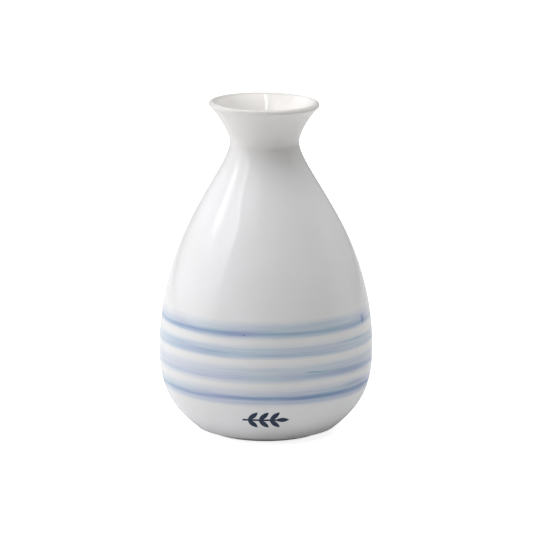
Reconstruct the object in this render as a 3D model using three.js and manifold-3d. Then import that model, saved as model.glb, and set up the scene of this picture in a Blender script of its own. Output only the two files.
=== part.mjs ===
// Sake bottle (tokkuri): a pear-shaped porcelain flask with a flared mouth, four brushed blue
// bands under a clear glaze, and a small printed sprig low on the front.
//
// Millimetres and degrees. +Z is up, the origin is the centre of the foot on the table, and the
// printed front faces -Y. The fired bottle is built up in layers, each its own mesh: clay wall,
// bare foot ring, brushed pigment, clear glaze outside, inside and under the base, and the print.
import * as THREE from "three";
import { mergeVertices } from "three/addons/utils/BufferGeometryUtils.js";
import Module from "manifold-3d";

const wasm = await Module();
wasm.setup();

// Outline of the finished, glazed bottle.
const height = 120;
const bellyRadius = 38.7;
const bellyHeight = 29.6; // the widest level, above the table
const shoulderRadius = 25.2;
const shoulderBelowRim = 40; // where the wall leans in most
const shoulderLean = 28.5; // of the wall there, from upright
const neckRadius = 12.5;
const neckBelowRim = 14.5;
const mouthRadius = 19.85;
const mouthFlare = 49; // of the wall at the lip, from upright
const lipThickness = 2.2;
const undersideRadius = 25.8; // the edge that the belly rises from
const undersideRise = 39.8; // of the wall at that edge, from level

// How full each stretch of the outline is: the pull on the curve at its two ends, as a share of
// the straight distance between them.
const lowerBellyPull = [0.375, 0.456];
const upperBellyPull = [0.457, 0.188];
const neckPull = [0.506, 0.179];
const mouthPull = [0.218, 0.269];
const covePull = [0.4, 0.5];

// Walls and layers.
const wallThickness = 2.8; // with the glaze on both sides
const floorThickness = 3.4; // with the glaze on both sides
const floorFlatRadius = 14;
const coveHeight = 8; // how far the floor's rounded edge climbs the wall
const glazeThickness = 0.3;
const pigmentThickness = 0.1;
const inkThickness = 0.08;

// Foot ring.
const footHeight = 1.8; // from the table to the glazed underside
const footInset = 4.2; // from the underside's edge in to the ring
const footWidth = 2.8;
const footChamfer = 0.4;

// Brushed bands from the top one down, with their edges above the belly's widest level.
const bands = [
  { name: "brushed_band_1", low: 11.6, high: 19.2 },
  { name: "brushed_band_2", low: 5.0, high: 9.8 },
  { name: "brushed_band_3", low: -3.9, high: 2.7 },
  { name: "brushed_band_4", low: -13.1, high: -5.8 },
];

// Printed sprig: a stem with leaves in pairs and one more at its tip.
const sprigBelowBands = 1.9;
const stemLength = 12.4;
const stemWidth = 0.6;
const leafLength = 4.8;
const leafWidth = 1.9;
const leafLean = 42; // from the stem
const leafPairs = 3;
const firstPairAt = 1.8; // along the stem
const leafPairPitch = 3.9;

// Facets around the axis, and steps along each curve.
const facetsRound = 36;
const steps = { lowerBelly: 6, upperBelly: 8, neck: 5, mouth: 5, lip: 5, cove: 4, leaf: 5 };
const stepClearance = 0.9; // a step nearer than this to a band's edge gives way to it

const rad = THREE.MathUtils.degToRad;
const at = (r, z) => new THREE.Vector2(r, z);
const fromLevel = (angle) => at(Math.cos(rad(angle)), Math.sin(rad(angle)));
const fromUpright = (angle) => fromLevel(90 - angle);

// A curve from one point to another that leaves and arrives in the given directions.
function sweep(from, leaving, to, arriving, [pullFrom, pullTo]) {
  const span = from.distanceTo(to);
  const handleFrom = from.clone().addScaledVector(leaving, pullFrom * span);
  const handleTo = to.clone().addScaledVector(arriving, -pullTo * span);
  return new THREE.CubicBezierCurve(from, handleFrom, handleTo, to);
}

// The outside runs up from the underside's edge to the lip in four stretches.
const lipRadius = lipThickness / 2;
const lipCentre = at(mouthRadius - lipRadius, height - lipRadius);
const undersideEdge = at(undersideRadius, footHeight);
const widest = at(bellyRadius, bellyHeight);
const shoulder = at(shoulderRadius, height - shoulderBelowRim);
const neck = at(neckRadius, height - neckBelowRim);
const flareTop = lipCentre.clone().addScaledVector(fromLevel(-mouthFlare), lipRadius);
const upright = fromUpright(0);
const leaningIn = fromUpright(-shoulderLean);
const stretches = [
  {
    curve: sweep(undersideEdge, fromLevel(undersideRise), widest, upright, lowerBellyPull),
    steps: steps.lowerBelly,
  },
  { curve: sweep(widest, upright, shoulder, leaningIn, upperBellyPull), steps: steps.upperBelly },
  { curve: sweep(shoulder, leaningIn, neck, upright, neckPull), steps: steps.neck },
  {
    curve: sweep(neck, upright, flareTop, fromUpright(mouthFlare), mouthPull),
    steps: steps.mouth,
    wallAtEnd: lipThickness,
  },
];

// A station is a point on the glazed surface with the direction out of the wall there: to the
// right of a walk up the outside, over the lip, down the inside and across the floor.
function stationOn(curve, t) {
  const along = curve.getTangent(t);
  return { point: curve.getPoint(t), out: at(along.y, -along.x) };
}

const offset = (station, distance) => station.point.clone().addScaledVector(station.out, distance);

function outsideStation({ curve }, t) {
  return stationOn(curve, t);
}

// The inside wall follows the outside one, thinning through the mouth to the lip's thickness.
function insideStation({ curve, wallAtEnd = wallThickness }, t) {
  const outer = stationOn(curve, t);
  const wall = THREE.MathUtils.lerp(wallThickness, wallAtEnd, t);
  return { point: offset(outer, -wall), out: outer.out.clone().negate() };
}

// The station at a level, on the outside or the inside, found by halving the curve it lies on.
function stationAtLevel(makeStation, level) {
  const stretch = stretches.find((s) => makeStation(s, 1).point.y >= level);
  let low = 0;
  let high = 1;
  while (high - low > 1e-9) {
    const middle = (low + high) / 2;
    if (makeStation(stretch, middle).point.y < level) low = middle;
    else high = middle;
  }
  return { stretch, t: high, ...makeStation(stretch, high) };
}

const stationsUp = (makeStation) =>
  stretches.flatMap((stretch) =>
    Array.from({ length: stretch.steps }, (_, i) => makeStation(stretch, (i + 1) / stretch.steps)),
  );

// Each band is a lens in section: no thickness at its edges and full thickness half-way.
const brushed = bands.map(({ name, low, high }) => {
  const levels = [low, (low + high) / 2, high].map((level) => bellyHeight + level);
  const [bottom, middle, top] = levels.map((level) => stationAtLevel(outsideStation, level));
  middle.pigment = pigmentThickness;
  return { name, stations: [bottom, middle, top] };
});

const clearOfBands = ({ point }) =>
  brushed.every(
    ({ stations: [bottom, , top] }) =>
      point.y < bottom.point.y - stepClearance || point.y > top.point.y + stepClearance,
  );

// The underside's edge is where the level underside meets the rising wall, so its direction out
// is mitred between the two.
const edgeStation = { point: undersideEdge, out: at(Math.tan(rad(undersideRise / 2)), -1) };
const outside = [
  edgeStation,
  ...[
    ...stationsUp(outsideStation).filter(clearOfBands),
    ...brushed.flatMap(({ stations }) => stations),
  ].sort((a, b) => a.point.y - b.point.y),
];

const overLip = Array.from({ length: steps.lip }, (_, i) => {
  const out = fromLevel(-mouthFlare + (180 * (i + 1)) / steps.lip);
  return { point: lipCentre.clone().addScaledVector(out, lipRadius), out };
});

// The floor is flat in the middle and curves up into the wall.
const floorLevel = footHeight + floorThickness;
const coveTop = stationAtLevel(insideStation, floorLevel + coveHeight);
const downWall = coveTop.stretch.curve.getTangent(coveTop.t).negate();
const towardsAxis = fromLevel(180);
const cove = sweep(coveTop.point, downWall, at(floorFlatRadius, floorLevel), towardsAxis, covePull);
const inside = [
  ...stationsUp(insideStation)
    .slice(0, -1)
    .filter(({ point }) => point.y > coveTop.point.y + stepClearance)
    .reverse(),
  coveTop,
  ...Array.from({ length: steps.cove }, (_, i) => stationOn(cove, (i + 1) / steps.cove)),
  { point: at(0, floorLevel), out: upright },
];

// The layers' surfaces, from the outside in.
const glazeSurface = (station) => offset(station, 0);
const pigmentSurface = (station) => offset(station, (station.pigment ?? 0) - glazeThickness);
const claySurface = (station) => offset(station, -glazeThickness);

function turned(profile) {
  return new THREE.LatheGeometry(profile, facetsRound).rotateX(Math.PI / 2);
}

const ringOf = (...profile) => turned([...profile, profile[0].clone()]);

const porcelain = { color: 0xe9e7e3, metalness: 0 };
const materials = {
  clay: new THREE.MeshStandardMaterial({ ...porcelain, roughness: 0.6 }),
  bareFoot: new THREE.MeshStandardMaterial({ color: 0xdcd6ca, roughness: 0.85, metalness: 0 }),
  glaze: new THREE.MeshStandardMaterial({ ...porcelain, roughness: 0.08 }),
  cobalt: new THREE.MeshStandardMaterial({ color: 0x9fb3d3, roughness: 0.2, metalness: 0 }),
  ink: new THREE.MeshStandardMaterial({ color: 0x28374b, roughness: 0.3, metalness: 0 }),
};

const bottle = new THREE.Group();

function addPart(name, geometry, material) {
  const mesh = new THREE.Mesh(geometry, material);
  mesh.name = name;
  bottle.add(mesh);
}

// Clay wall and floor, in one turned piece.
const clayBase = footHeight + glazeThickness;
const claySection = [at(0, clayBase), ...[...outside, ...overLip, ...inside].map(claySurface)];
addPart("porcelain_body", turned(claySection), materials.clay);

// Foot ring, bare where it stands on the table, up to the clay base.
const footRadius = undersideRadius - footInset;
const footBore = footRadius - footWidth;
const footRing = ringOf(
  at(footBore + footChamfer, 0),
  at(footRadius - footChamfer, 0),
  at(footRadius, footChamfer),
  at(footRadius, clayBase),
  at(footBore, clayBase),
  at(footBore, footChamfer),
);
addPart("foot_ring", footRing, materials.bareFoot);

// Brushed pigment on the clay.
for (const { name, stations } of brushed) {
  const [bottom, middle, top] = stations.map(claySurface);
  addPart(name, ringOf(bottom, pigmentSurface(stations[1]), top, middle), materials.cobalt);
}

// Clear glaze: the outside from the foot ring over the lip, the inside from there to the floor,
// and the disc inside the foot ring.
const outerStations = [...outside, ...overLip];
const outerGlaze = ringOf(
  at(footRadius, footHeight),
  ...outerStations.map(glazeSurface),
  ...outerStations.map(pigmentSurface).reverse(),
  at(footRadius, clayBase),
);
addPart("outer_glaze", outerGlaze, materials.glaze);

const innerStations = [overLip.at(-1), ...inside];
const innerGlaze = turned([
  ...innerStations.map(claySurface).reverse(),
  ...innerStations.map(glazeSurface),
]);
addPart("inner_glaze", innerGlaze, materials.glaze);

const baseGlaze = turned([
  at(0, footHeight),
  at(footBore, footHeight),
  at(footBore, clayBase),
  at(0, clayBase),
]);
addPart("base_glaze", baseGlaze, materials.glaze);

// A closed geometry as a solid for joining and cutting, and back again.
function solidOf(geometry) {
  const bare = geometry.clone().deleteAttribute("normal").deleteAttribute("uv");
  const merged = mergeVertices(bare);
  const vertProperties = merged.attributes.position.array;
  const triVerts = new Uint32Array(merged.index.array);
  return new wasm.Manifold(new wasm.Mesh({ numProp: 3, vertProperties, triVerts }));
}

function geometryOf(solid) {
  const { vertProperties, triVerts } = solid.getMesh();
  const geometry = new THREE.BufferGeometry();
  geometry.setAttribute("position", new THREE.BufferAttribute(vertProperties, 3));
  geometry.setIndex(new THREE.BufferAttribute(triVerts, 1));
  geometry.computeVertexNormals();
  return geometry;
}

// Printed sprig: its outline, carried straight back from the front, cut out of a film of ink
// that lies on the glaze. It is drawn from the root of its stem.
function leafShape() {
  const leaf = new THREE.Shape();
  leaf.moveTo(0, 0);
  leaf.quadraticCurveTo(leafLength / 2, leafWidth, leafLength, 0);
  leaf.quadraticCurveTo(leafLength / 2, -leafWidth, 0, 0);
  return leaf;
}

function stemShape() {
  const stem = new THREE.Shape();
  stem.moveTo(0, -stemWidth / 2);
  stem.lineTo(stemLength, -stemWidth / 2);
  stem.lineTo(stemLength, stemWidth / 2);
  stem.lineTo(0, stemWidth / 2);
  return stem;
}

const tipLeafAt = stemLength - stemWidth;
const sprigRoot = -(tipLeafAt + leafLength) / 2;
const sprigHalfHeight = leafLength * Math.sin(rad(leafLean));
const sprigTop = bellyHeight + Math.min(...bands.map(({ low }) => low)) - sprigBelowBands;
const sprigMiddle = sprigTop - sprigHalfHeight;
const sprigBottom = sprigMiddle - sprigHalfHeight;

function prismOf(shape, alongStem, turn) {
  const options = { depth: 2 * bellyRadius, bevelEnabled: false, curveSegments: steps.leaf };
  const prism = new THREE.ExtrudeGeometry(shape, options).rotateZ(rad(turn));
  return solidOf(prism.translate(sprigRoot + alongStem, sprigMiddle, 0).rotateX(Math.PI / 2));
}

const pairPlaces = Array.from({ length: leafPairs }, (_, i) => firstPairAt + i * leafPairPitch);
const sprigPrisms = [
  prismOf(stemShape(), 0, 0),
  prismOf(leafShape(), tipLeafAt, 0),
  ...pairPlaces.map((place) => prismOf(leafShape(), place, leafLean)),
  ...pairPlaces.map((place) => prismOf(leafShape(), place, -leafLean)),
];
const sprigOutline = sprigPrisms.reduce((joined, prism) => joined.add(prism));

const firstAbove = outside.findIndex(({ point }) => point.y > sprigTop);
const lastBelow = outside.findLastIndex(({ point }) => point.y < sprigBottom);
const inked = outside.slice(lastBelow, firstAbove + 1);
const film = ringOf(
  ...inked.map((station) => offset(station, inkThickness)),
  ...inked.map(glazeSurface).reverse(),
);
addPart("printed_sprig", geometryOf(solidOf(film).intersect(sprigOutline)), materials.ink);

export default bottle;
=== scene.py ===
import math
import bpy
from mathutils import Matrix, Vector


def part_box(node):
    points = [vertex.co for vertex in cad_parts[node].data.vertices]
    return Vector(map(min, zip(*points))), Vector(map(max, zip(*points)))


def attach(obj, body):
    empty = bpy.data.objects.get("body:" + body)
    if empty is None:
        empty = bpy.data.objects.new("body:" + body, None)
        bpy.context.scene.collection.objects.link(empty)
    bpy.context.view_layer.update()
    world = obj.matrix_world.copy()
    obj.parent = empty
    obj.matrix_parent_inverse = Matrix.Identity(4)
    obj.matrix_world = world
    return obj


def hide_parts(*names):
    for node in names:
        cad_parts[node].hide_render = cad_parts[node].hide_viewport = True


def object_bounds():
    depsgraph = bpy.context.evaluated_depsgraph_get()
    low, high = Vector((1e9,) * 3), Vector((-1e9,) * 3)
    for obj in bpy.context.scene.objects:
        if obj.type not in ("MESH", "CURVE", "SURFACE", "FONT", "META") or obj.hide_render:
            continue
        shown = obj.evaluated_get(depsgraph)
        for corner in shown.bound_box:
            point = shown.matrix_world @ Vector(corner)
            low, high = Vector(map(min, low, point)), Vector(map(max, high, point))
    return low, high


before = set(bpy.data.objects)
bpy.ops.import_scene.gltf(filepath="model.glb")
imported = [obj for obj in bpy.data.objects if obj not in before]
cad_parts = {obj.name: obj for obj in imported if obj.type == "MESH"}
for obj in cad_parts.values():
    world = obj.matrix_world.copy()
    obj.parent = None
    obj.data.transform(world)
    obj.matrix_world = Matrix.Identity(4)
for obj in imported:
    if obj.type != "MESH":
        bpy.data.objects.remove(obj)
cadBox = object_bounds()
mm = 0.001
weld = 0.001 * mm  # points closer than this become one

# The glazed bottle's outline, in metres and degrees. Heights that count down from the rim have
# "below" in their name. A pull is how far a curve's handles reach, as a share of the straight
# line between its ends.
outlineSet = {
    "bellyHeight": 29.6 * mm,
    "shoulderRadius": 25.2 * mm,
    "shoulderBelowRim": 40 * mm,
    "shoulderLean": 28.5,  # from upright
    "neckRadius": 12.5 * mm,
    "neckBelowRim": 14.5 * mm,
    "mouthRadius": 19.85 * mm,
    "mouthFlare": 49,  # from upright, at the lip
    "lipThickness": 2.2 * mm,
    "undersideRadius": 25.8 * mm,
    "undersideRise": 39.8,  # from level
    "lowerBellyPull": (0.375, 0.456),
    "upperBellyPull": (0.457, 0.188),
    "neckPull": (0.506, 0.179),
    "mouthPull": (0.218, 0.269),
    "covePull": (0.4, 0.5),
    "wall": 2.8 * mm,
    "floor": 3.4 * mm,
    "floorFlatRadius": 14 * mm,
    "floorRows": 8,
    "coveHeight": 8 * mm,
    "rowStep": 1.1 * mm,  # between rows of faces up the wall
    "cutGap": 0.22 * mm,  # no row closer than this to a cut
    "lipRows": 20,
    "turnSteps": 160,
}


def deselectAll():
    if bpy.context.object and bpy.context.object.mode != "OBJECT":
        bpy.ops.object.mode_set(mode="OBJECT")
    bpy.ops.object.select_all(action="DESELECT")


def pick(*pieces):  # selects these, and the last one is active
    deselectAll()
    for piece in pieces:
        piece.select_set(True)
    bpy.context.view_layer.objects.active = pieces[-1]


def editAll(piece, selectMode="VERT"):
    pick(piece)
    bpy.ops.object.mode_set(mode="EDIT")
    bpy.ops.mesh.select_mode(type=selectMode)
    bpy.ops.mesh.select_all(action="SELECT")


def applyAll(piece):
    pick(piece)
    for modifier in list(piece.modifiers):
        bpy.ops.object.modifier_apply(modifier=modifier.name)


def fromLevel(degrees):  # a direction in the section, risen from level
    return Vector((math.cos(math.radians(degrees)), math.sin(math.radians(degrees))))


def fromUpright(degrees):
    return fromLevel(90 - degrees)


# The section is a list of (point, outward direction) pairs, up the outside, over the lip and
# down the inside to the middle of the floor.
def sweep(start, leaving, end, arriving, pull):
    span = (end - start).length
    a, b, c, d = start, start + leaving * pull[0] * span, end - arriving * pull[1] * span, end
    rows = max(4, round(span / outlineSet["rowStep"]))
    line = []
    for i in range(rows + 1):
        t = i / rows
        point = a * (1 - t) ** 3 + 3 * b * t * (1 - t) ** 2 + 3 * c * t * t * (1 - t) + d * t**3
        along = (b - a) * (1 - t) ** 2 + 2 * (c - b) * t * (1 - t) + (d - c) * t * t
        along.normalize()
        line.append((point, Vector((along.y, -along.x))))
    return line


def wallSection(o):
    height = round(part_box("outer_glaze")[1].z, 4)
    bellyRadius = round(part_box("outer_glaze")[1].x, 4)
    underside = round(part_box("base_glaze")[0].z, 5)
    lipRound = o["lipThickness"] / 2
    lipCentre = Vector((o["mouthRadius"] - lipRound, height - lipRound))
    edge = Vector((o["undersideRadius"], underside))
    widest = Vector((bellyRadius, o["bellyHeight"]))
    shoulder = Vector((o["shoulderRadius"], height - o["shoulderBelowRim"]))
    neck = Vector((o["neckRadius"], height - o["neckBelowRim"]))
    flareTop = lipCentre + fromLevel(-o["mouthFlare"]) * lipRound
    upright, leaningIn = fromUpright(0), fromUpright(-o["shoulderLean"])
    belly = sweep(edge, fromLevel(o["undersideRise"]), widest, upright, o["lowerBellyPull"])
    upper = sweep(widest, upright, shoulder, leaningIn, o["upperBellyPull"])
    throat = sweep(shoulder, leaningIn, neck, upright, o["neckPull"])
    mouth = sweep(neck, upright, flareTop, fromUpright(o["mouthFlare"]), o["mouthPull"])
    outside = belly + upper[1:] + throat[1:] + mouth[1:]
    lip = []
    for i in range(1, o["lipRows"]):
        out = fromLevel(-o["mouthFlare"] + 180 * i / o["lipRows"])
        lip.append((lipCentre + out * lipRound, out))
    inside = []
    for i, (point, out) in enumerate(reversed(outside)):
        share = max(0, 1 - i / (len(mouth) - 1))  # 1 at the lip, 0 from the neck down
        wall = o["wall"] + (o["lipThickness"] - o["wall"]) * share
        inside.append((point - out * wall, -out))
    floorLevel = underside + o["floor"]
    inside = [(p, n) for p, n in inside if p.y > floorLevel + o["coveHeight"]]
    coveTop, wallOut = inside[-1]
    downWall = Vector((-wallOut.y, wallOut.x))
    floorEdge = Vector((o["floorFlatRadius"], floorLevel))
    cove = sweep(coveTop, downWall, floorEdge, fromLevel(180), o["covePull"])
    floor = []
    for i in range(1, o["floorRows"] + 1):
        floor.append((Vector((floorEdge.x * (1 - i / o["floorRows"]), floorLevel)), upright))
    return outside, lip, inside + cove[1:] + floor


def shifted(line, distance):
    return [point + out * distance for point, out in line]


def between(line, low, high):  # the part of a section that lies between two heights
    def cut(z):
        for (p, pOut), (q, qOut) in zip(line, line[1:]):
            if p.y <= z <= q.y:
                share = (z - p.y) / (q.y - p.y)
                return p.lerp(q, share), pOut.lerp(qOut, share).normalized()
        raise ValueError("no wall at height " + str(z))

    gap = outlineSet["cutGap"]
    middle = [(p, out) for p, out in line if low + gap < p.y < high - gap]
    return [cut(low)] + middle + [cut(high)]


def turned(name, points, closed=False):  # spins a section round the upright axis
    bpy.ops.curve.primitive_bezier_curve_add(location=(0, 0, 0))
    piece = bpy.context.object
    piece.name = piece.data.name = name
    piece.data.dimensions = "3D"
    piece.data.splines.clear()
    spline = piece.data.splines.new("POLY")
    spline.points.add(len(points) - 1)
    for knot, point in zip(spline.points, points):
        knot.co = (0, -point.x, point.y, 1)
    spline.use_cyclic_u = closed
    pick(piece)
    bpy.ops.object.convert(target="MESH")
    editAll(piece)
    turn = dict(angle=2 * math.pi, center=(0, 0, 0), axis=(0, 0, 1))
    bpy.ops.mesh.spin(steps=outlineSet["turnSteps"], **turn)
    bpy.ops.mesh.select_all(action="SELECT")
    bpy.ops.mesh.remove_doubles(threshold=weld)
    bpy.ops.mesh.normals_make_consistent(inside=False)
    bpy.ops.object.mode_set(mode="OBJECT")
    return bpy.context.object


# No hand-thrown pot is perfectly round or upright: every piece but the foot shares this slow
# wander of the wall and this lean of the neck. The cage's levels are evenly spaced from the table.
wanderSet = {"reach": 0.22 * mm, "size": 0.05, "stillBelow": 2.5 * mm, "fullAbove": 16 * mm}
leanSet = {
    "top": 125 * mm,
    "halfWidth": 50 * mm,
    "slide": (0, 0, 0, 0, 0, -0.1, -0.38, -0.5, -0.62, -0.8),  # mm along X, level by level
    "tip": (0, 0, 0, 0, 0, 0, 0, 0, 0.012, 0.022),  # how far each level tips, in radians
}
wander = bpy.data.textures.new("handWander", "CLOUDS")
wander.cloud_type = "COLOR"
wander.noise_basis = "ORIGINAL_PERLIN"
wander.noise_depth = 0
wander.noise_scale = wanderSet["size"]


def buildCage(l):
    bpy.ops.object.add(type="LATTICE", location=(0, 0, l["top"] / 2))
    cage = bpy.context.object
    cage.name = "leanCage"
    cage.scale = (2 * l["halfWidth"], 2 * l["halfWidth"], l["top"])
    cage.data.points_u = cage.data.points_v = 2
    cage.data.points_w = len(l["slide"])
    for i, point in enumerate(cage.data.points):
        level = i // 4
        side = point.co.x * cage.scale.x
        x = side + l["slide"][level] * mm
        z = point.co.z * l["top"] - side * l["tip"][level]
        point.co_deform = (x / cage.scale.x, point.co.y, z / l["top"])
    return cage


cage = buildCage(leanSet)


def handThrown(piece):
    still, full = wanderSet["stillBelow"], wanderSet["fullAbove"]
    group = piece.vertex_groups.new(name="wander")
    for vertex in piece.data.vertices:
        share = min(1, max(0, (vertex.co.z - still) / (full - still)))
        group.add([vertex.index], share * share * (3 - 2 * share), "REPLACE")
    push = piece.modifiers.new("wander", "DISPLACE")
    push.texture = wander
    push.texture_coords = "LOCAL"
    push.direction = "RGB_TO_XYZ"
    push.strength = wanderSet["reach"]
    push.mid_level = 0.5
    push.vertex_group = "wander"
    lean = piece.modifiers.new("lean", "LATTICE")
    lean.object = cage
    applyAll(piece)
    piece.vertex_groups.clear()


def finishPiece(piece, slotName, *nodes, sharp=35):
    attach(piece, "root")
    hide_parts(*nodes)
    pick(piece)
    bpy.ops.object.shade_smooth_by_angle(angle=math.radians(sharp))


outside, lip, inside = wallSection(outlineSet)
skin = outside + lip + inside
glazeThickness = round(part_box("outer_glaze")[1].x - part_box("porcelain_body")[1].x, 5)
footRadius = round(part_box("foot_ring")[1].x, 4)
print("section:", len(skin), "points")


def buildClay():
    base = skin[0][0].y + glazeThickness
    wall = shifted(skin, -glazeThickness)
    wall[0] = Vector((wall[0].x, base))
    return turned("porcelainBody", [Vector((0, base))] + wall)


def buildGlaze():  # one skin from the foot, over the lip and down to the middle of the floor
    base = skin[0][0].y
    under = [Vector((footRadius, base + glazeThickness)), Vector((footRadius, base))]
    back = shifted(skin, -glazeThickness)
    back[0] = Vector((back[0].x, base + glazeThickness))
    return turned("clearGlaze", list(reversed(back)) + under + shifted(skin, 0))


clay = buildClay()
glaze = buildGlaze()
for piece in (clay, glaze):
    handThrown(piece)
finishPiece(clay, "porcelain", "porcelain_body")
finishPiece(glaze, "clear_glaze", "outer_glaze", "inner_glaze")
print("glaze:", len(glaze.data.polygons), "faces, clay:", len(clay.data.polygons), "faces")

footSet = {"width": 2.8 * mm, "rounding": 0.45 * mm, "roundSegments": 4}


def buildFoot(f):
    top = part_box("foot_ring")[1].z
    inner = footRadius - f["width"]
    corners = [(inner, 0), (footRadius, 0), (footRadius, top), (inner, top)]
    foot = turned("footRing", [Vector(corner) for corner in corners], closed=True)
    editAll(foot, "EDGE")
    bpy.ops.mesh.select_all(action="DESELECT")
    bpy.ops.object.mode_set(mode="OBJECT")
    for edge in foot.data.edges:  # the two edges that rest on the table
        ends = [foot.data.vertices[i].co for i in edge.vertices]
        level = max(end.z for end in ends) < f["rounding"] / 2
        edge.select = level and abs(ends[0].xy.length - ends[1].xy.length) < f["rounding"] / 2
    bpy.ops.object.mode_set(mode="EDIT")
    rounding = dict(offset=f["rounding"], segments=f["roundSegments"], profile=0.5)
    bpy.ops.mesh.bevel(affect="EDGES", clamp_overlap=True, **rounding)
    bpy.ops.object.mode_set(mode="OBJECT")
    return foot


foot = buildFoot(footSet)
finishPiece(foot, "bare_foot", "foot_ring")

baseSet = {"pool": 0.7 * mm, "poolRows": 7, "rows": 14}  # the glaze gathers against the foot


def buildBaseGlaze(b):
    low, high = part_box("base_glaze")
    bore = round(high.x, 4)
    line = [Vector(((bore - b["pool"]) * i / b["rows"], low.z)) for i in range(b["rows"] + 1)]
    for i in range(1, b["poolRows"] + 1):
        turn = math.radians(90 * i / b["poolRows"])
        inward, down = math.sin(turn) - 1, math.cos(turn) - 1
        line.append(Vector((bore + inward * b["pool"], low.z + down * b["pool"])))
    line.append(Vector((bore, high.z)))
    line.append(Vector((0, high.z)))
    return turned("baseGlaze", line)


baseGlaze = buildBaseGlaze(baseSet)
finishPiece(baseGlaze, "clear_glaze", "base_glaze")
print("foot and base: made")

# The bands are films a hair proud of the glaze. Each reaches a little past the solid that it
# stands for, where its colour has already faded to bare glaze.
filmSet = {"proud": 0.03 * mm, "sunk": 0.02 * mm, "margin": 0.7 * mm}


def buildBand(number, f):
    low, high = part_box("brushed_band_" + str(number))
    strip = between(outside, low.z - f["margin"], high.z + f["margin"])
    line = shifted(strip, f["proud"]) + list(reversed(shifted(strip, -f["sunk"])))
    band = turned("brushedBand" + str(number), line, closed=True)
    handThrown(band)
    finishPiece(band, "cobalt_pigment", "brushed_band_" + str(number))
    return band


bands = [buildBand(number, filmSet) for number in (1, 2, 3, 4)]
bpy.data.objects.remove(cage)
print("bands:", len(bands))

sprigSet = {
    "stemLength": 12.4 * mm,
    "stemWidth": 0.7 * mm,
    "leafLength": 4.8 * mm,
    "leafWidth": 1.8 * mm,  # at its middle
    "leafLean": 42,  # from the stem
    "leafPairs": 3,
    "firstPairAt": 1.8 * mm,
    "leafPairPitch": 3.9 * mm,
    "leafGrid": (24, 6),
    "stemGrid": (48, 3),
    "startInFront": 5 * mm,
    "ink": 0.05 * mm,
    "leafExtra": 0.015 * mm,  # the leaves are printed over the stem
    "sunk": 0.01 * mm,
}


def sizeColumn(grid, place, width):  # scales one column of a grid, 1 long, across
    bpy.ops.mesh.select_all(action="DESELECT")
    bpy.ops.object.mode_set(mode="OBJECT")
    for vertex in grid.data.vertices:
        vertex.select = abs(vertex.co.x - place) < 0.001
    bpy.ops.object.mode_set(mode="EDIT")
    bpy.ops.transform.resize(value=(1, width, 1))


def flatLeaf(s):  # a pointed leaf lying along +X from its root
    columns, rows = s["leafGrid"]
    bpy.ops.mesh.primitive_grid_add(x_subdivisions=columns, y_subdivisions=rows, size=1)
    leaf = bpy.context.object
    bpy.ops.object.mode_set(mode="EDIT")
    for i in range(columns + 1):
        t = i / columns
        sizeColumn(leaf, t - 0.5, 4 * t * (1 - t) * s["leafWidth"])
    bpy.ops.mesh.select_all(action="SELECT")
    bpy.ops.transform.resize(value=(s["leafLength"], 1, 1))
    bpy.ops.transform.translate(value=(s["leafLength"] / 2, 0, 0))
    bpy.ops.mesh.remove_doubles(threshold=weld)
    bpy.ops.object.mode_set(mode="OBJECT")
    return leaf


def flatStem(s):
    columns, rows = s["stemGrid"]
    bpy.ops.mesh.primitive_grid_add(x_subdivisions=columns, y_subdivisions=rows, size=1)
    stem = bpy.context.object
    editAll(stem)
    bpy.ops.transform.resize(value=(s["stemLength"], s["stemWidth"], 1))
    bpy.ops.transform.translate(value=(s["stemLength"] / 2, 0, 0))
    bpy.ops.object.mode_set(mode="OBJECT")
    return stem


def printOnGlaze(part, place, thickness, s):  # stands a flat shape up, wraps it on, inks it
    pick(part)
    bpy.ops.object.transform_apply(location=True, rotation=True, scale=True)
    part.rotation_euler.x = math.radians(90)
    part.location = place
    bpy.ops.object.transform_apply(location=True, rotation=True, scale=True)
    wrap = part.modifiers.new("ontoGlaze", "SHRINKWRAP")
    wrap.target = glaze
    wrap.wrap_method = "PROJECT"
    wrap.use_project_y = True
    wrap.use_positive_direction = True
    wrap.use_negative_direction = False
    wrap.offset = -s["sunk"]
    film = part.modifiers.new("ink", "SOLIDIFY")
    film.thickness = thickness + s["sunk"]
    film.offset = 1
    applyAll(part)


def buildSprig(s):
    low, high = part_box("printed_sprig")
    root = Vector((low.x, low.y - s["startInFront"], (low.z + high.z) / 2))
    leaf = flatLeaf(s)
    leaves = [(s["stemLength"] - s["stemWidth"], 0)]
    for i in range(s["leafPairs"]):
        along = s["firstPairAt"] + i * s["leafPairPitch"]
        leaves += [(along, s["leafLean"]), (along, -s["leafLean"])]
    stem = flatStem(s)
    printOnGlaze(stem, root, s["ink"], s)
    parts = [stem]
    for along, lean in leaves:
        pick(leaf)
        bpy.ops.object.duplicate(linked=False)
        copy = bpy.context.object
        copy.rotation_euler.z = math.radians(lean)
        copy.location.x = along
        printOnGlaze(copy, root, s["ink"] + s["leafExtra"], s)
        parts.append(copy)
    bpy.data.objects.remove(leaf)
    pick(*parts)
    bpy.ops.object.join()
    sprig = bpy.context.object
    sprig.name = sprig.data.name = "printedSprig"
    return sprig


sprig = buildSprig(sprigSet)
finishPiece(sprig, "navy_ink", "printed_sprig")
print("sprig:", len(sprig.data.polygons), "faces")


# Materials. A socket name leads to a number, a colour or another node's socket.
def newMaterial(name, *pieces):
    material = bpy.data.materials.new(name)
    material.use_nodes = True
    for piece in pieces:
        piece.data.materials.clear()
        piece.data.materials.append(material)
    tree = material.node_tree
    return tree, tree.nodes["Principled BSDF"]


def plug(tree, socket, value):
    if isinstance(value, bpy.types.NodeSocket):
        tree.links.new(value, socket)
    else:
        socket.default_value = value


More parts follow.
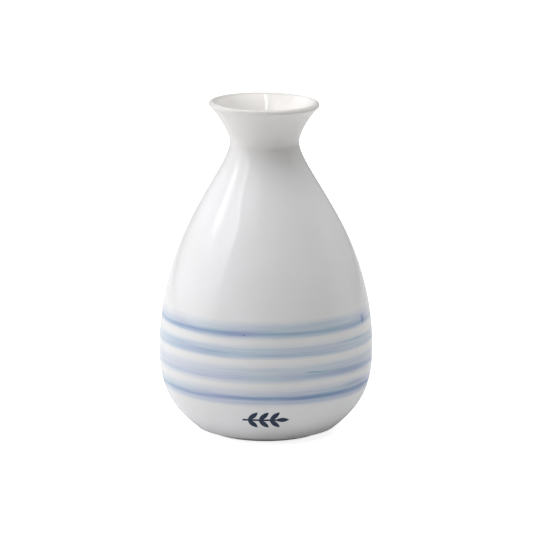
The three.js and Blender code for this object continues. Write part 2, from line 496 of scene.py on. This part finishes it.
def node(tree, kind, *values, **settings):  # values go to the sockets in order, None is skipped
    made = tree.nodes.new("ShaderNode" + kind)
    for name, value in settings.items():
        setattr(made, name, value)
    for socket, value in zip(made.inputs, values):
        if value is not None:
            plug(tree, socket, value)
    return made


def maths(tree, operation, *values, clamp=False):
    return node(tree, "Math", *values, operation=operation, use_clamp=clamp).outputs[0]


def place(tree):  # where a point lies on the piece, in metres
    return node(tree, "TexCoord").outputs["Object"]


def stretched(tree, vector, scale, move=(0, 0, 0)):
    return node(tree, "Mapping", vector, move, None, scale).outputs[0]


def cloudiness(tree, vector, scale, detail=2.0, rough=0.5):
    noise = node(tree, "TexNoise")
    plug(tree, noise.inputs["Vector"], vector)
    noise.inputs["Scale"].default_value = scale
    noise.inputs["Detail"].default_value = detail
    noise.inputs["Roughness"].default_value = rough
    return noise.outputs["Fac"]


def ramp(tree, value, *stops):  # stops are (place, grey or colour)
    made = node(tree, "ValToRGB", value)
    points = made.color_ramp.elements
    while len(points) < len(stops):
        points.new(1)
    for point, (where, shade) in zip(points, stops):
        point.position = where
        point.color = (*shade, 1) if isinstance(shade, tuple) else (shade, shade, shade, 1)
    return made.outputs[0]


def blend(tree, share, first, second, mode="MIX"):  # a Mix node's colours are sockets 6 and 7
    made = node(tree, "Mix", data_type="RGBA", blend_type=mode)
    plug(tree, made.inputs["Factor"], share)
    plug(tree, made.inputs[6], first)
    plug(tree, made.inputs[7], second)
    return made.outputs[2]


def raised(tree, height, distance):  # a bumpy normal
    made = node(tree, "Bump")
    made.inputs["Distance"].default_value = distance
    plug(tree, made.inputs["Height"], height)
    return made.outputs["Normal"]


whiteSet = {
    "white": (0.818, 0.817, 0.825, 1),
    "cloudy": (0.795, 0.797, 0.795, 1),
    "cloudsPerMetre": 55,
    "cloudEdges": (0.35, 0.65),
    # painted reflection: the neck and flare are tinted warm, standing in for warm light reflected
    # up from the table
    "paintedWarmReflection": (0.81, 0.79, 0.765, 1),
    "warmFrom": 92 * mm,
    "warmTo": 114 * mm,
    "thinLip": (0.66, 0.645, 0.625, 1),  # where the glaze has run off the rim
    "thinFrom": 119.2 * mm,
    "thinTo": 119.8 * mm,
    "pinholesPerMetre": 210,
    "pinholeShare": 0.1,  # of the places where one could be
    "pinholeSize": 0.03,  # as a share of the space between them
    "pinholeCore": 0.4,
    "pinholeTint": (0.45, 0.4, 0.33, 1),
    "pinholeStrength": 0.35,
    "pinholeDepth": 1.5,  # in ripples
    "rippleDepth": 0.012 * mm,
    "ripplesPerMetre": 110,
    "peelPerMetre": 900,
    "peelDepth": 0.12,  # in ripples
    "roughness": 0.035,
}


def glazedWhite(tree, shader, w):  # the white of the glazed clay; returns its colour
    here = place(tree)
    clouds = cloudiness(tree, here, w["cloudsPerMetre"], 3)
    clear, full = w["cloudEdges"]
    colour = blend(tree, ramp(tree, clouds, (clear, 0), (full, 1)), w["white"], w["cloudy"])
    height = node(tree, "SeparateXYZ", here).outputs["Z"]
    # painted reflection: from warmFrom up to warmTo the white turns warm, standing in for warm
    # light reflected from the table
    rise = node(tree, "MapRange", height, w["warmFrom"], w["warmTo"]).outputs[0]
    colour = blend(tree, rise, colour, w["paintedWarmReflection"])
    thin = node(tree, "MapRange", height, w["thinFrom"], w["thinTo"]).outputs[0]
    colour = blend(tree, thin, colour, w["thinLip"])
    cells = node(tree, "TexVoronoi")
    plug(tree, cells.inputs["Vector"], here)
    cells.inputs["Scale"].default_value = w["pinholesPerMetre"]
    lucky = node(tree, "SeparateColor", cells.outputs["Color"]).outputs[0]
    rare = maths(tree, "GREATER_THAN", lucky, 1 - w["pinholeShare"])
    size = w["pinholeSize"]
    dot = ramp(tree, cells.outputs["Distance"], (size * w["pinholeCore"], 1), (size, 0))
    pinhole = maths(tree, "MULTIPLY", dot, rare)
    stain = maths(tree, "MULTIPLY", pinhole, w["pinholeStrength"])
    colour = blend(tree, stain, colour, w["pinholeTint"])
    ripple = cloudiness(tree, here, w["ripplesPerMetre"], 1)
    peel = cloudiness(tree, here, w["peelPerMetre"], 1)
    surface = maths(tree, "MULTIPLY_ADD", peel, w["peelDepth"], ripple)
    surface = maths(tree, "MULTIPLY_ADD", pinhole, -w["pinholeDepth"], surface)
    plug(tree, shader.inputs["Normal"], raised(tree, surface, w["rippleDepth"]))
    shader.inputs["Roughness"].default_value = w["roughness"]
    return colour


tree, shader = newMaterial("clearOverWhite", glaze)
plug(tree, shader.inputs["Base Color"], glazedWhite(tree, shader, whiteSet))

# Cobalt takes up each colour of light by its own share, and the wash is as deep as it is strong.
cobaltSet = {
    "violet": (1.01, 0.81, 0.35),
    "teal": (1.08, 0.68, 0.38),
    "driftPerMetre": (45, 45, 160),  # between the two
    "driftEdges": (0.38, 0.62),
    "steps": 6,
    "deepest": 1.5,
}


def cobaltTint(tree, strength, c):
    def shades(takenUp):
        stops = []
        for i in range(c["steps"] + 1):
            depth = c["deepest"] * i / c["steps"]
            stops.append((i / c["steps"], tuple(math.exp(-part * depth) for part in takenUp)))
        return stops

    share = maths(tree, "DIVIDE", strength, c["deepest"], clamp=True)
    drift = cloudiness(tree, stretched(tree, place(tree), c["driftPerMetre"]), 1, 2)
    allViolet, allTeal = c["driftEdges"]
    drift = ramp(tree, drift, (allViolet, 0), (allTeal, 1))
    violet = ramp(tree, share, *shades(c["violet"]))
    return blend(tree, drift, violet, ramp(tree, share, *shades(c["teal"])))


# Heights in a band's profile are in mm above the lower edge of its solid, turns are in degrees
# round from the front, towards +X. A mark is (turn, height, half its length in degrees, half its
# height in mm, slope in mm per 10 degrees, strength).
bandSets = {
    1: {
        "wash": ((-0.4, 0), (0.4, 0.06), (1.3, 0.38), (2.8, 0.46), (4, 0.38), (5.4, 0.2), (7, 0)),
        "line": (2.0, 0.75, 0.55),
        "lineRound": ((-180, 0.8), (-75, 0.8), (-20, 0.95), (-5, 0.5), (25, 0.35), (60, 0.6),
                      (72, 0.3), (130, 0.7), (180, 0.8)),
        "washRound": ((-180, 1), (-70, 0.7), (-20, 1), (30, 1.05), (66, 1), (78, 0.5), (180, 1)),
        "marks": ((66, 2.9, 2.0, 1.3, 0, 0.7), (-12, 1.9, 0.55, 0.22, 0, 0.9)),
        "seed": 1.3,
    },
    2: {
        "wash": ((-0.6, 0), (0.2, 0.3), (1, 0.5), (2.4, 0.46), (3.6, 0.33), (4.6, 0.08), (5.4, 0)),
        "line": (0.85, 0.35, 0.16),
        "lineRound": ((-180, 1), (-60, 0.3), (-30, 1), (10, 1), (45, 0.3), (180, 1)),
        "washRound": ((-180, 1), (-70, 0.8), (-30, 1.1), (20, 0.95), (60, 0.9), (180, 1)),
        "marks": ((60, 3.6, 11, 0.5, 0.1, 0.28), (-32, 1.9, 12, 0.45, -0.12, 0.25),
                  (-58, 3.0, 9, 0.6, -0.1, 0.12)),
        "seed": 5.1,
    },
    3: {
        "wash": ((-0.7, 0), (0.4, 0.2), (1.3, 0.45), (2.6, 0.42), (3.8, 0.3), (5.2, 0.26),
                 (6.2, 0.1), (7, 0)),
        "line": (1.9, 0.8, 0.1),
        "lineRound": ((-180, 1), (-60, 0.2), (-10, 0.4), (18, 0.6), (28, 1.5), (75, 1.8), (180, 1)),
        "washRound": ((-180, 1), (-70, 0.7), (-20, 0.95), (40, 1.1), (70, 1), (180, 1)),
        "marks": ((26, 3.3, 5, 0.22, -0.5, 0.6), (42, 2.9, 14, 0.3, -0.05, 0.22)),
        "seed": 9.7,
    },
    4: {
        "wash": ((-0.4, 0), (0.5, 0.1), (1.4, 0.4), (2.6, 0.55), (4, 0.5), (5.2, 0.3), (6.4, 0.15),
                 (7.6, 0)),
        "line": (3.3, 0.62, 0.68),
        "lineRound": ((-180, 1), (-75, 0.6), (-40, 0.7), (0, 1), (40, 1.1), (68, 1.0), (180, 1)),
        "washRound": ((-180, 1), (-70, 0.75), (0, 0.9), (30, 1.15), (65, 1.25), (180, 1)),
        "marks": ((35, 4.2, 7, 0.25, 0, 0.3), (56, 5.6, 8, 0.6, 0.2, 0.25)),
        "seed": 13.9,
    },
}
brushSet = {
    "wobble": 0.9,  # mm
    "wobblesPerMetre": 38,
    "wobbleSquash": (1, 1, 0.4),
    "streaksPerMetre": (26, 26, 1150),
    "streakShare": 0.75,
    "hairsPerMetre": (60, 60, 2300),
    "hairShare": 0.34,
    "fadeTo": 0.4,  # of the margin past a band's solid
    "mostWash": 1.5,  # a ramp holds shares of these, because it can't pass 1
    "mostLine": 2,
}


def roundTurns(tree, turn, stops):
    share = node(tree, "MapRange", turn, -180, 180).outputs[0]
    return ramp(tree, share, *((where / 360 + 0.5, value) for where, value in stops))


def bump(tree, value, middle, half):  # 1 at the middle, falling smoothly away
    off = maths(tree, "DIVIDE", maths(tree, "SUBTRACT", value, middle), half)
    return maths(tree, "EXPONENT", maths(tree, "MULTIPLY", maths(tree, "MULTIPLY", off, off), -1))


def brushedBlue(band, number, b, u):
    tree, shader = newMaterial("brushedBlue" + str(number), band)
    white = glazedWhite(tree, shader, whiteSet)
    here = place(tree)
    x, y, z = node(tree, "SeparateXYZ", here).outputs[:3]
    turn = maths(tree, "ARCTAN2", x, maths(tree, "MULTIPLY", y, -1))
    turn = maths(tree, "MULTIPLY", turn, 180 / math.pi)
    low, high = (round(corner.z, 5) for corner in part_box("brushed_band_" + str(number)))
    seeded = stretched(tree, here, u["wobbleSquash"], (b["seed"], 0, 0))
    wobble = maths(tree, "SUBTRACT", cloudiness(tree, seeded, u["wobblesPerMetre"], 2), 0.5)
    height = maths(tree, "DIVIDE", maths(tree, "SUBTRACT", z, low), mm)
    height = maths(tree, "MULTIPLY_ADD", wobble, u["wobble"], height)
    bottom, top = b["wash"][0][0], b["wash"][-1][0]
    share = node(tree, "MapRange", height, bottom, top).outputs[0]
    stops = [((h - bottom) / (top - bottom), value) for h, value in b["wash"]]
    wash = ramp(tree, share, *stops)
    washRound = roundTurns(tree, turn, [(t, v / u["mostWash"]) for t, v in b["washRound"]])
    wash = maths(tree, "MULTIPLY", wash, washRound)
    lineHeight, lineHalf, lineStrength = b["line"]
    line = bump(tree, height, lineHeight, lineHalf)
    line = maths(tree, "MULTIPLY", line, lineStrength * u["mostLine"])
    lineRound = roundTurns(tree, turn, [(t, v / u["mostLine"]) for t, v in b["lineRound"]])
    line = maths(tree, "MULTIPLY", line, lineRound)
    strength = maths(tree, "MULTIPLY_ADD", wash, u["mostWash"], line)
    for away, up, halfTurn, halfHeight, slope, dark in b["marks"]:
        offTurn = maths(tree, "SUBTRACT", turn, away)
        level = maths(tree, "MULTIPLY_ADD", offTurn, -slope / 10, height)
        along = bump(tree, turn, away, halfTurn)
        mark = maths(tree, "MULTIPLY", along, bump(tree, level, up, halfHeight))
        strength = maths(tree, "MULTIPLY_ADD", mark, dark, strength)
    strokes = ((u["streaksPerMetre"], u["streakShare"]), (u["hairsPerMetre"], u["hairShare"]))
    for spread, part in strokes:
        seededStreaks = stretched(tree, here, spread, (b["seed"], b["seed"], 0))
        streak = maths(tree, "SUBTRACT", cloudiness(tree, seededStreaks, 1, 3), 0.5)
        factor = maths(tree, "MULTIPLY_ADD", streak, 2 * part, 1)
        strength = maths(tree, "MULTIPLY", strength, factor)
    margin = filmSet["margin"] / mm
    tall = (high - low) / mm
    for solidEdge, past in ((0, -margin), (tall, margin)):
        faded = node(tree, "MapRange", height, solidEdge + past, solidEdge + past * u["fadeTo"])
        strength = maths(tree, "MULTIPLY", strength, faded.outputs[0])
    tint = cobaltTint(tree, strength, cobaltSet)
    plug(tree, shader.inputs["Base Color"], blend(tree, 1.0, white, tint, "MULTIPLY"))


for number, band in enumerate(bands, 1):
    brushedBlue(band, number, bandSets[number], brushSet)

inkSet = {
    "navy": (0.010, 0.022, 0.052, 1),
    "paler": (0.018, 0.036, 0.075, 1),
    "patchesPerMetre": 420,
    "rubbed": (0.06, 0.09, 0.14, 1),
    "rubbedShare": 0.15,
    "specksPerMetre": 2600,
    "speckEdges": (0.42, 0.62),
    "speckDepth": 0.004 * mm,
    "roughness": 0.4,
    "shine": 0.25,
}


def navyInk(mark, i):
    tree, shader = newMaterial("navyInk", mark)
    here = place(tree)
    most, none = i["speckEdges"]
    worn = ramp(tree, cloudiness(tree, here, i["specksPerMetre"], 3), (most, 1), (none, 0))
    patchy = cloudiness(tree, here, i["patchesPerMetre"], 2)
    navy = blend(tree, patchy, i["navy"], i["paler"])
    navy = blend(tree, maths(tree, "MULTIPLY", worn, i["rubbedShare"]), navy, i["rubbed"])
    plug(tree, shader.inputs["Base Color"], navy)
    plug(tree, shader.inputs["Normal"], raised(tree, worn, i["speckDepth"]))
    shader.inputs["Roughness"].default_value = i["roughness"]
    shader.inputs["Specular IOR Level"].default_value = i["shine"]


navyInk(sprig, inkSet)

claySet = {
    "dark": (0.72, 0.70, 0.66, 1),
    "light": (0.78, 0.765, 0.73, 1),
    "grainsPerMetre": 3200,
    "grainDepth": 0.03 * mm,
    "roughness": 0.7,
}


def firedClay(body, c):
    tree, shader = newMaterial("firedClay", body)
    grain = cloudiness(tree, place(tree), c["grainsPerMetre"], 4)
    plug(tree, shader.inputs["Base Color"], blend(tree, grain, c["dark"], c["light"]))
    plug(tree, shader.inputs["Normal"], raised(tree, grain, c["grainDepth"]))
    shader.inputs["Roughness"].default_value = c["roughness"]


firedClay(clay, claySet)

footClaySet = {
    "clean": (0.70, 0.67, 0.61, 1),
    "light": (0.78, 0.755, 0.70, 1),
    "grainsPerMetre": 2600,
    "grainRough": 0.65,
    "grainDepth": 0.05 * mm,
    "roughness": (0.82, 0.68),
    "roughEdges": (0.3, 0.7),
    "toasted": (0.58, 0.48, 0.36, 1),  # a line beside the glaze
    "toastHeights": (0.9 * mm, 1.9 * mm),
    "toastPerMetre": 160,
    "grime": (0.3, 0.29, 0.27, 1),  # where it rubs on the table
    "grimeShare": 0.7,
    "grimeHeights": (0.5 * mm, 0),
    "grimePerMetre": 380,
    "speck": (0.35, 0.28, 0.2, 1),
    "specksPerMetre": 5200,
    "speckEdges": (0.68, 0.74),
    "speckShare": 0.6,
}


def bareFoot(ring, f):
    tree, shader = newMaterial("bareFoot", ring)
    here = place(tree)
    height = node(tree, "SeparateXYZ", here).outputs["Z"]
    grain = cloudiness(tree, here, f["grainsPerMetre"], 5, f["grainRough"])
    colour = blend(tree, grain, f["clean"], f["light"])
    toast = node(tree, "MapRange", height, *f["toastHeights"]).outputs[0]
    toast = maths(tree, "MULTIPLY", toast, cloudiness(tree, here, f["toastPerMetre"], 3))
    colour = blend(tree, toast, colour, f["toasted"])
    grime = node(tree, "MapRange", height, *f["grimeHeights"]).outputs[0]
    grime = maths(tree, "MULTIPLY", grime, cloudiness(tree, here, f["grimePerMetre"], 4))
    colour = blend(tree, maths(tree, "MULTIPLY", grime, f["grimeShare"]), colour, f["grime"])
    none, most = f["speckEdges"]
    specks = cloudiness(tree, here, f["specksPerMetre"], 2)
    specks = ramp(tree, specks, (none, 0), (most, f["speckShare"]))
    plug(tree, shader.inputs["Base Color"], blend(tree, specks, colour, f["speck"]))
    plug(tree, shader.inputs["Normal"], raised(tree, grain, f["grainDepth"]))
    rough = ramp(tree, grain, *zip(f["roughEdges"], f["roughness"]))
    plug(tree, shader.inputs["Roughness"], rough)


bareFoot(foot, footClaySet)

poolSet = {"tint": (0.62, 0.70, 0.69, 1), "width": 3 * mm}  # where the base glaze gathers


def pooledGlaze(disc, p):
    tree, shader = newMaterial("pooledGlaze", disc)
    white = glazedWhite(tree, shader, whiteSet)
    x, y = node(tree, "SeparateXYZ", place(tree)).outputs[:2]
    across = node(tree, "CombineXYZ", x, y, 0).outputs[0]
    fromAxis = node(tree, "VectorMath", across, operation="LENGTH").outputs["Value"]
    bore = round(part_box("base_glaze")[1].x, 4)
    near = bore - p["width"]
    pooled = node(tree, "MapRange", fromAxis, near, bore, interpolation_type="SMOOTHSTEP")
    plug(tree, shader.inputs["Base Color"], blend(tree, pooled.outputs[0], white, p["tint"]))


pooledGlaze(baseGlaze, poolSet)
print("materials:", len(bpy.data.materials))

cameraSet = {
    "elevation": 12.6,
    "distance": 1.2636,
    "lens": 236.4,
    "sensor": 36,
    "shift": (0.00085, -0.0026),
}


def placeCamera(c):
    target = Vector((0, 0, cadBox[1].z / 2))
    tilt = math.radians(c["elevation"])
    back = Vector((0, -math.cos(tilt), math.sin(tilt)))
    bpy.ops.object.camera_add(location=target + back * c["distance"])
    camera = bpy.context.object
    camera.rotation_euler = (math.radians(90 - c["elevation"]), 0, 0)
    camera.data.sensor_width = c["sensor"]
    camera.data.lens = c["lens"]
    camera.data.shift_x, camera.data.shift_y = c["shift"]
    bpy.context.scene.camera = camera


placeCamera(cameraSet)

# Soft boxes: turn round from the front towards +X and rise, in degrees, how far away, and their
# width and height, in metres. A glow shades a box from its rear edge through "glowMiddle" to its
# front edge, low down, halfway and high up. A spot is bright in the middle of its box, and fades
# towards the edges over these shares of the width and height.
lightSet = {
    "leftPanel": {
        "turn": -102,
        "rise": 26,
        "away": 0.8,
        "size": (1.44, 0.86),
        "power": 11.5,
        "colour": (0.975, 0.968, 1),
        "glow": ((0, 0.41, 0.12), (0, 0.5, 0.5), (0.4, 0.75, 1.3)),
        "glowMiddle": 0.72,
    },
    "leftSpot": {
        "turn": -90,
        "rise": 35,
        "away": 0.78,
        "size": (0.26, 0.42),
        "power": 1.4,
        "colour": (0.975, 0.968, 1),
        "spot": (0.3, 0.32),
    },
    "rightPanel": {"turn": 100, "rise": 10, "away": 0.9, "size": (0.52, 0.5), "power": 0.25},
    "backTop": {"turn": 180, "rise": 62, "away": 1.2, "size": (1.6, 0.8), "power": 2.3},
    "overhead": {
        "turn": 75,
        "rise": 76,
        "away": 1.1,
        "size": (1.3, 1.3),
        "power": 14,
        "spot": (0.35, 0.35),
    },
    "highLeft": {
        "turn": -55,
        "rise": 62,
        "away": 1,
        "size": (1, 0.8),
        "power": 8.3,
        "spot": (0.33, 0.33),
    },
    "mouthStrip": {"turn": -10, "rise": 74, "away": 1, "size": (0.08, 0.5), "power": 0.7},
}


def glowing(tree, u, v, l):
    brightest = max(max(row) for row in l["glow"])
    places = (0, l["glowMiddle"], 1)
    rows = []
    for row in l["glow"]:
        rows.append(ramp(tree, u, *zip(places, (value / brightest for value in row))))
    lower = blend(tree, maths(tree, "MULTIPLY", v, 2, clamp=True), rows[0], rows[1])
    upper = maths(tree, "MULTIPLY_ADD", v, 2, -1, clamp=True)
    return maths(tree, "MULTIPLY", blend(tree, upper, lower, rows[2]), brightest)


def spotlit(tree, u, v, l):
    across, up = l["spot"]
    return maths(tree, "MULTIPLY", bump(tree, u, 0.5, across), bump(tree, v, 0.5, up))


def shadeBox(lamp, shading, l):  # brightness by place on the box
    lamp.data.use_nodes = True
    tree = lamp.data.node_tree
    onBox = node(tree, "NewGeometry").outputs["Parametric"]
    u, v = node(tree, "SeparateXYZ", onBox).outputs[:2]
    plug(tree, tree.nodes["Emission"].inputs["Strength"], shading(tree, u, v, l))


def hangLight(name, l):
    turn, rise = math.radians(l["turn"]), math.radians(l["rise"])
    outward = Vector((math.sin(turn), -math.cos(turn), 0))
    back = outward * math.cos(rise) + Vector((0, 0, math.sin(rise)))
    middle = Vector((0, 0, cadBox[1].z / 2))
    bpy.ops.object.light_add(type="AREA", location=middle + back * l["away"])
    lamp = bpy.context.object
    lamp.name = name
    lamp.rotation_euler = back.to_track_quat("Z", "Y").to_euler()
    lamp.data.shape = "RECTANGLE"
    lamp.data.size, lamp.data.size_y = l["size"]
    lamp.data.energy = l["power"]
    lamp.data.color = l.get("colour", (1, 1, 1))
    if "glow" in l:
        shadeBox(lamp, glowing, l)
    elif "spot" in l:
        shadeBox(lamp, spotlit, l)


for name, l in lightSet.items():
    hangLight(name, l)

# The camera sees a table that glows, so a shadow on it stays faint. To the bottle it is duller,
# so little light comes up from it.
floorSet = {
    "size": 8,
    "paper": (0.93, 0.93, 0.93, 1),
    "mottled": (0.9207, 0.9207, 0.91605, 1),
    "mottlesPerMetre": 9,
    "glow": 0.8,
    "thrownBack": (0.8, 0.8, 0.8, 1),
    "backGlow": 0.048,
}


def tableTop(tree, white, glow):
    top = node(tree, "BsdfDiffuse", white)
    light = node(tree, "Emission", None, glow)
    return node(tree, "AddShader", top.outputs[0], light.outputs[0]).outputs[0]


def layFloor(f):
    bpy.ops.mesh.primitive_plane_add(size=f["size"], location=(0, 0, 0))
    table = bpy.context.object
    table.name = "studioFloor"
    tree, shader = newMaterial("paleFloor", table)
    tree.nodes.remove(shader)
    mottle = cloudiness(tree, place(tree), f["mottlesPerMetre"], 3)
    paper = blend(tree, mottle, f["paper"], f["mottled"])
    toEye = node(tree, "LightPath").outputs["Is Camera Ray"]
    dull = tableTop(tree, f["thrownBack"], f["backGlow"])
    bright = tableTop(tree, paper, f["glow"])
    mixed = node(tree, "MixShader", toEye, dull, bright)
    plug(tree, tree.nodes["Material Output"].inputs["Surface"], mixed.outputs[0])


layFloor(floorSet)

# The air is brighter behind, and white where the camera sees it.
airSet = {"level": 0.235, "towardsBack": 0.235, "seen": 1.05}


def fillAir(a):
    world = bpy.data.worlds.new("studioAir")
    bpy.context.scene.world = world
    world.use_nodes = True
    tree = world.node_tree
    way = node(tree, "TexCoord").outputs["Generated"]
    backward = node(tree, "SeparateXYZ", way).outputs["Y"]
    level = maths(tree, "MULTIPLY_ADD", backward, a["towardsBack"], a["level"])
    toEye = node(tree, "LightPath").outputs["Is Camera Ray"]
    level = node(tree, "Mix", toEye, None, level, a["seen"]).outputs[0]
    plug(tree, tree.nodes["Background"].inputs["Strength"], level)
    tree.nodes["Background"].inputs["Color"].default_value = (1, 1, 1, 1)


fillAir(airSet)
bpy.context.scene.view_settings.view_transform = "Standard"
print("camera and light: set")
